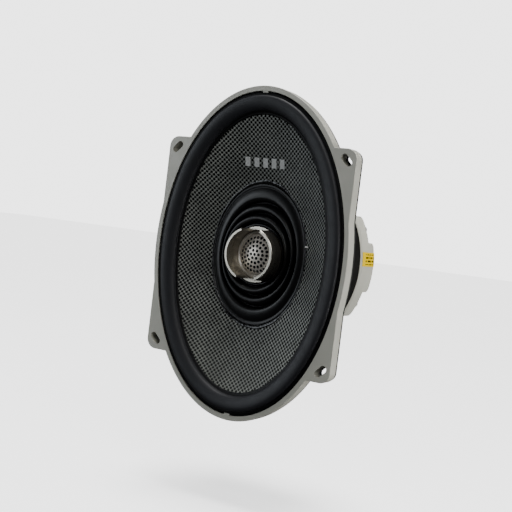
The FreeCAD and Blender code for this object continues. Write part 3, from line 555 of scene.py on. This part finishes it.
def make_cone():
    """The woven sheet, as a grid that runs with the yarns and is cut to the cone's outline."""
    size = WEAVE_PITCH / YARN_STEPS
    reach = int((CONE_X + CONE_Z) / math.sqrt(2) / size) + 2
    index = np.arange(-reach, reach + 1)
    a, b = np.meshgrid(index, index, indexing="ij")
    slant = math.sqrt(0.5) * size
    flat, z = (a + b) * slant, (a - b) * slant
    x = flat.copy()
    for _ in range(12):
        x = flat / (1 + DRAPE * np.abs(x) / DRAPE_X * np.exp(-((z / DRAPE_Z) ** 2)))
    share = cone_shares(x, z)
    inside = (share > -0.012) & (share < 0.995)
    # a hundredth of a yarn keeps the grid off the yarns' edges, where the weave jumps
    height = weave_height(a / YARN_STEPS + 0.01, b / YARN_STEPS + 0.01)
    y = CONE_FRONT + (NECK_Y - CONE_FRONT) * share - YARN_RELIEF * (height - 1) + SHEET_BACK
    number = -np.ones(a.shape, int)
    whole = inside[:-1, :-1] & inside[1:, :-1] & inside[:-1, 1:] & inside[1:, 1:]
    used = np.zeros(a.shape, bool)
    used[:-1, :-1] |= whole
    used[1:, :-1] |= whole
    used[:-1, 1:] |= whole
    used[1:, 1:] |= whole
    number[used] = np.arange(used.sum())
    vertices = np.stack([x[used], y[used], z[used]], axis=1)
    i, j = np.nonzero(whole)
    faces = np.stack([number[i, j], number[i + 1, j], number[i + 1, j + 1], number[i, j + 1]], axis=1)
    piece = new_object("cone_sheet", vertices.tolist(), faces.tolist())
    outward(piece)
    if piece.data.polygons[0].normal.y > 0:
        piece.data.flip_normals()
    shell = piece.modifiers.new("thickness", "SOLIDIFY")
    shell.thickness, shell.offset = SHEET_THICK, -1.0
    paint(piece, "cone")
    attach(piece, "cone_assembly")
    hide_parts("cone")
    return piece


# ---- surround -----------------------------------------------------------------------------------

LAND_WIDE = 2.7 * MM
ROLL_WIDE = 10.7 * MM
ROLL_STEPS, SURROUND_COUNT = 40, 320     # points across the roll, and round the oval
RECESS_DEEP, LAND_THICK = 1.8 * MM, 1.2 * MM
LAND_Y = FLANGE_FRONT + RECESS_DEEP - LAND_THICK         # the land's front, in the frame's recess
LAND_EDGE = 0.4 * MM                     # the step from the land into the roll
ROLL_IN_LIFT = 0.75 * MM                 # how far the roll's inner foot lies before the cone's edge
LIP_ROWS = ((0.1, -0.60), (0.5, -0.45), (1.0, 0.05))     # mm in from the cone's edge, and in y
SURROUND_THICK = 0.55 * MM


def make_surround():
    """Land, half-roll and the thin lip glued over the cone's edge."""
    foot_x, foot_z = LAND_X - LAND_WIDE, LAND_Z - LAND_WIDE
    inner_y = CONE_FRONT - ROLL_IN_LIFT
    stations = [(LAND_X, LAND_Z, LAND_Y, 0.0), (foot_x + LAND_EDGE, foot_z + LAND_EDGE, LAND_Y, 0.0)]
    for step in range(ROLL_STEPS + 1):
        turn = math.pi * step / ROLL_STEPS
        across = (1 - math.cos(turn)) / 2
        foot = LAND_Y + (inner_y - LAND_Y) * across
        rise = (LAND_Y + inner_y) / 2 - ROLL_TOP
        y = foot - rise * math.sin(turn) ** 0.8
        stations.append((foot_x - ROLL_WIDE * across, foot_z - ROLL_WIDE * across, y, smooth_step(across)))
    roll_rows = len(stations)
    for inset, y in LIP_ROWS:
        stations.append((CONE_X - inset * MM, CONE_Z - inset * MM, CONE_FRONT + y * MM, 1.0))
    front = [s[:3] for s in stations]
    rows = thickened(front, SURROUND_THICK)
    piece = oval_ring("surround_roll", rows, SURROUND_COUNT)
    share = [s[3] for s in stations]
    share = share + share[::-1]
    paint(piece, "surround")
    piece.data.materials.append(PAINT["painted_edge_shade"])
    # the land and the lip take the near-black painted shade
    for row in (0, 1, 2, *range(roll_rows - 1, len(stations))):      # the land and the lip
        for number in range(row * SURROUND_COUNT, (row + 1) * SURROUND_COUNT):
            piece.data.polygons[number].material_index = 1
    bend_between(piece)
    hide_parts("surround")
    return piece


# ---- dust boot ----------------------------------------------------------------------------------

BOOT_THICK = 0.7 * MM
BOOT_STEPS, BOOT_COUNT = 16, 256         # points from fold to fold, and round the boot
BOOT_PROFILE = (  # at each fold: share of the way from foot to tube along x and z, and y in mm
    (0.000, 0.000, 5.75), (0.060, 0.070, 6.10), (0.300, 0.280, 4.80), (0.430, 0.435, 9.00),
    (0.530, 0.575, 3.20), (0.630, 0.690, 8.20), (0.735, 0.805, 1.00), (0.860, 0.905, 6.20),
    (0.945, 0.965, 3.60), (0.985, 0.985, 4.60),
)


def make_boot():
    """The accordion seal: rounded crests and valleys from the cone's oval to the tube's circle."""
    inner = TUBE_R + 0.1 * MM
    stations = []
    for first, last in zip(BOOT_PROFILE, BOOT_PROFILE[1:]):
        for step in range(BOOT_STEPS):
            part = step / BOOT_STEPS
            to_crest = last[2] < first[2]
            ease = 1 - (1 - part) ** 3 if to_crest else part ** 3
            if last is BOOT_PROFILE[2]:           # the outermost crest is reached more gently
                ease = 1 - (1 - part) ** 2
            share_x, share_z = (first[k] + (last[k] - first[k]) * part for k in (0, 1))
            y = (first[2] + (last[2] - first[2]) * ease) * MM
            stations.append((
                BOOT_X + (inner - BOOT_X) * share_x,
                BOOT_Z + (inner - BOOT_Z) * share_z,
                y,
            ))
    rows = thickened(stations, BOOT_THICK)
    piece = oval_ring("boot_bellows", rows, BOOT_COUNT)
    share = [smooth_step((x - inner) / (0.5 * (BOOT_X - inner))) for x, _, _ in stations]
    share = share + share[::-1]
    paint(piece, "dust_boot")
    bend_between(piece)
    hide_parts("dust_boot")
    return piece


# ---- glue bead, spider, flexible leads and tweeter surround -------------------------------------

BEAD_OUT, BEAD_IN = 0.634, 0.663         # the bead's edges, as shares of the cone's slope
GASKET_BULGE = 0.45 * MM
SPIDER_IN = FORMER_R + 0.25 * MM
SPIDER_THICK, SPIDER_WAVE = 0.5 * MM, 1.3 * MM
SPIDER_FOLDS, SPIDER_COUNT = 7, 192      # corrugations, and points round each
FOLD_IN, FOLD_OUT = SPIDER_IN + 2.0 * MM, 50.5 * MM
TWEETER_COUNT = 128                      # points round the tweeter's surround


def make_glue_bead():
    """A hand-laid bead of glue round the boot's foot, ragged where it meets the weave."""
    count, sections = 720, 7
    vertices, faces = [], []
    for j in range(count):
        turn = 2 * math.pi * j / count
        ragged = 0.5 + 0.26 * math.sin(5 * turn + 1.0) + 0.14 * math.sin(17 * turn)
        ragged += 0.05 * math.sin(41 * turn + 2.0)
        outer = BEAD_OUT - 0.020 * ragged
        for k in range(sections):
            part = k / (sections - 1)
            tall = (0.25 + 0.45 * ragged) * MM * math.sin(math.pi * min(0.04 + part, 1.0)) ** 0.7
            half_x, half_z, y = cone_station(outer + (BEAD_IN - outer) * part, tall + 0.02 * MM)
            vertices.append((half_x * math.cos(turn), y, half_z * math.sin(turn)))
        after = (j + 1) % count
        for k in range(sections - 1):
            here, there = j * sections + k, after * sections + k
            faces.append((here, here + 1, there + 1, there))
    piece = outward(new_object("glue_bead", vertices, faces))
    if sum(p.normal.y for p in piece.data.polygons) > 0:
        piece.data.flip_normals()
    paint(piece, "cone_glue_bead")
    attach(piece, "cone_assembly")
    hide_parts("cone_glue_bead")
    return piece


def make_spider():
    """Round corrugations pressed into cloth, flat at the coil and where it is glued to its seat."""
    middle = (SPIDER_FRONT + SPIDER_BACK - SPIDER_THICK) / 2
    steps = SPIDER_FOLDS * 16
    line = [(SPIDER_IN, middle)]
    for step in range(steps + 1):
        part = step / steps
        fade = smooth_step(min(part, 1 - part) * 2 * SPIDER_FOLDS)
        y = middle + SPIDER_WAVE * math.cos(2 * math.pi * SPIDER_FOLDS * part) * fade
        line.append((FOLD_IN + (FOLD_OUT - FOLD_IN) * part, y))
    line.append((SPIDER_R, middle))
    stations = [(r, r, y) for r, y in reversed(line)]
    piece = oval_ring("spider_cloth", thickened(stations, SPIDER_THICK), SPIDER_COUNT)
    share = [smooth_step((FOLD_OUT - r) / (FOLD_OUT - FOLD_IN)) for r, _, _ in stations]
    share = share + share[::-1]
    paint(piece, "spider")
    bend_between(piece)
    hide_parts("spider")
    return piece


def make_flexible_leads():
    """The two braided leads, each running from the strip on the basket to its eyelet on the cone."""
    piece = bpy.data.objects.new("flexible_leads", NODES["lead_wires"].data.copy())
    bpy.context.scene.collection.objects.link(piece)
    paint(piece, "braid")
    bend_between(piece)
    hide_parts("lead_wires")
    return piece


def make_trim_ring():
    """The bright half-round ring inside the tube."""
    outer, _, crest, back = half_size("tweeter_trim_ring")
    wide = 2.0 * MM
    stations = []
    for step in range(25):
        turn = math.pi * step / 24
        r = outer - wide * (1 - math.cos(turn)) / 2
        stations.append((r, r, back - (back - crest) * math.sin(turn) ** 0.7))
    piece = oval_ring("trim_ring", stations, 192)
    paint(piece, "tweeter_trim_ring")
    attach(piece, "frame")
    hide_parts("tweeter_trim_ring")
    return piece


def make_gasket():
    """The foam gasket, squeezed out a little past its cut edge by the flange."""
    piece = bpy.data.objects.new("foam_gasket", NODES["flange_gasket"].data.copy())
    bpy.context.scene.collection.objects.link(piece)
    half_x, half_z, _, _ = half_size("flange_gasket")
    for vertex in piece.data.vertices:
        vertex.co.x *= 1 + GASKET_BULGE / half_x
        vertex.co.z *= 1 + GASKET_BULGE / half_z
    paint(piece, "flange_gasket")
    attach(piece, "frame")
    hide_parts("flange_gasket")
    return piece


def make_tweeter_surround():
    """The small half-roll round the tweeter's dome."""
    outer, _, crest, back = half_size("tweeter_surround")
    inner = half_size("tweeter_former")[0] + 0.05 * MM
    thick = 0.25 * MM
    foot, roll_out = back - 0.1 * MM - thick, outer - 1.1 * MM
    stations = [(outer, outer, foot)]
    for step in range(17):
        turn = math.pi * step / 16
        r = roll_out + (inner + 0.1 * MM - roll_out) * (1 - math.cos(turn)) / 2
        stations.append((r, r, foot - (foot - crest) * math.sin(turn)))
    stations.append((inner, inner, foot))
    piece = oval_ring("tweeter_roll", thickened(stations, thick), TWEETER_COUNT)
    still, moving = roll_out, inner + 0.45 * MM
    share = [smooth_step((still - r) / (still - moving)) for r, _, _ in stations]
    share = share + share[::-1]
    paint(piece, "silk")
    bend_between(piece)
    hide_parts("tweeter_surround")
    return piece


# ---- studio -------------------------------------------------------------------------------------

VIEW_AZIMUTH, VIEW_ELEVATION, VIEW_ROLL = 29.79, 2.10, 6.95
VIEW_DISTANCE = 0.6641
VIEW_AIM = Vector((0.0066, -0.0082, -0.0006))
COOL = (0.88, 0.94, 1.0)


def make_camera():
    data = bpy.data.cameras.new("camera")
    data.sensor_width, data.lens = 36.0, 66.64
    camera = bpy.data.objects.new("camera", data)
    bpy.context.scene.collection.objects.link(camera)
    azimuth, elevation = math.radians(VIEW_AZIMUTH), math.radians(VIEW_ELEVATION)
    back = Vector((
        math.sin(azimuth) * math.cos(elevation),
        -math.cos(azimuth) * math.cos(elevation),
        math.sin(elevation),
    ))
    turn = (-back).to_track_quat("-Z", "Y").to_matrix().to_4x4()
    roll = Matrix.Rotation(math.radians(VIEW_ROLL), 4, "Z")
    camera.matrix_world = Matrix.Translation(VIEW_AIM + back * VIEW_DISTANCE) @ turn @ roll
    bpy.context.scene.camera = camera


def soft_box(name, place, aim, wide, tall, power, color=(1, 1, 1)):
    data = bpy.data.lights.new(name, "AREA")
    data.shape, data.size, data.size_y = "RECTANGLE", wide, tall
    data.energy, data.color = power, color
    lamp = bpy.data.objects.new(name, data)
    bpy.context.scene.collection.objects.link(lamp)
    lamp.location = place
    lamp.rotation_mode = "QUATERNION"
    lamp.rotation_quaternion = (Vector(aim) - Vector(place)).to_track_quat("-Z", "Y")
    return lamp


def make_studio():
    floor_z = cad_box[0].z - 60 * MM
    size = 6.0
    corners = [(x * size, z * size, floor_z) for x, z in ((-1, -1), (1, -1), (1, 1), (-1, 1))]
    floor = new_object("floor", corners, [(0, 1, 2, 3)], smooth=False)
    made = Shader("floor_white", tone(250, 250, 250), 0.8)
    made.mottled(tone(249, 249, 249), tone(252, 252, 252), 2)
    made.put("Emission Color", (1.0, 1.0, 1.0, 1.0))
    made.put("Emission Strength", 1.4)
    floor.data.materials.append(made.material)
    floor.visible_glossy = floor.visible_diffuse = False
    make_world(background=3.4, light=0.05)
    aim = (0, 0, 0)
    soft_box("key", (1.1, -0.9, 0.9), aim, 0.5, 0.9, 9)
    soft_box("side", (1.25, 0.30, -0.15), aim, 0.5, 1.2, 6.5)
    soft_box("front", (-0.90, -0.96, 0.17), aim, 0.62, 0.6, 5.2, COOL)
    soft_box("left", (-1.2, -0.25, 0.3), aim, 0.5, 1.2, 4, COOL)
    soft_box("table", (0.65, 0.1, -0.1), (0.05, 0.03, -0.05), 0.5, 0.2, 4)
    sun = bpy.data.lights.new("overhead", "SUN")
    sun.energy, sun.angle = 4.6, math.radians(25)
    lamp = bpy.data.objects.new("overhead", sun)
    bpy.context.scene.collection.objects.link(lamp)


def make_world(background, light):
    """A pale backdrop all round, brighter to look at than the light it sheds."""
    world = bpy.data.worlds.new("studio")
    bpy.context.scene.world = world
    world.use_nodes = True
    tree = world.node_tree
    shade = next(n for n in tree.nodes if n.type == "BACKGROUND")
    shade.inputs["Color"].default_value = (1.0, 1.0, 1.0, 1.0)
    path = tree.nodes.new("ShaderNodeLightPath")
    strength = tree.nodes.new("ShaderNodeMapRange")
    strength.inputs["To Min"].default_value = light
    strength.inputs["To Max"].default_value = background
    tree.links.new(path.outputs["Is Camera Ray"], strength.inputs["Value"])
    tree.links.new(strength.outputs["Result"], shade.inputs["Strength"])


paint_cad_nodes()
make_cone()
make_surround()
make_boot()
make_glue_bead()
make_spider()
make_flexible_leads()
make_trim_ring()
make_gasket()
make_tweeter_surround()
make_camera()
make_studio()
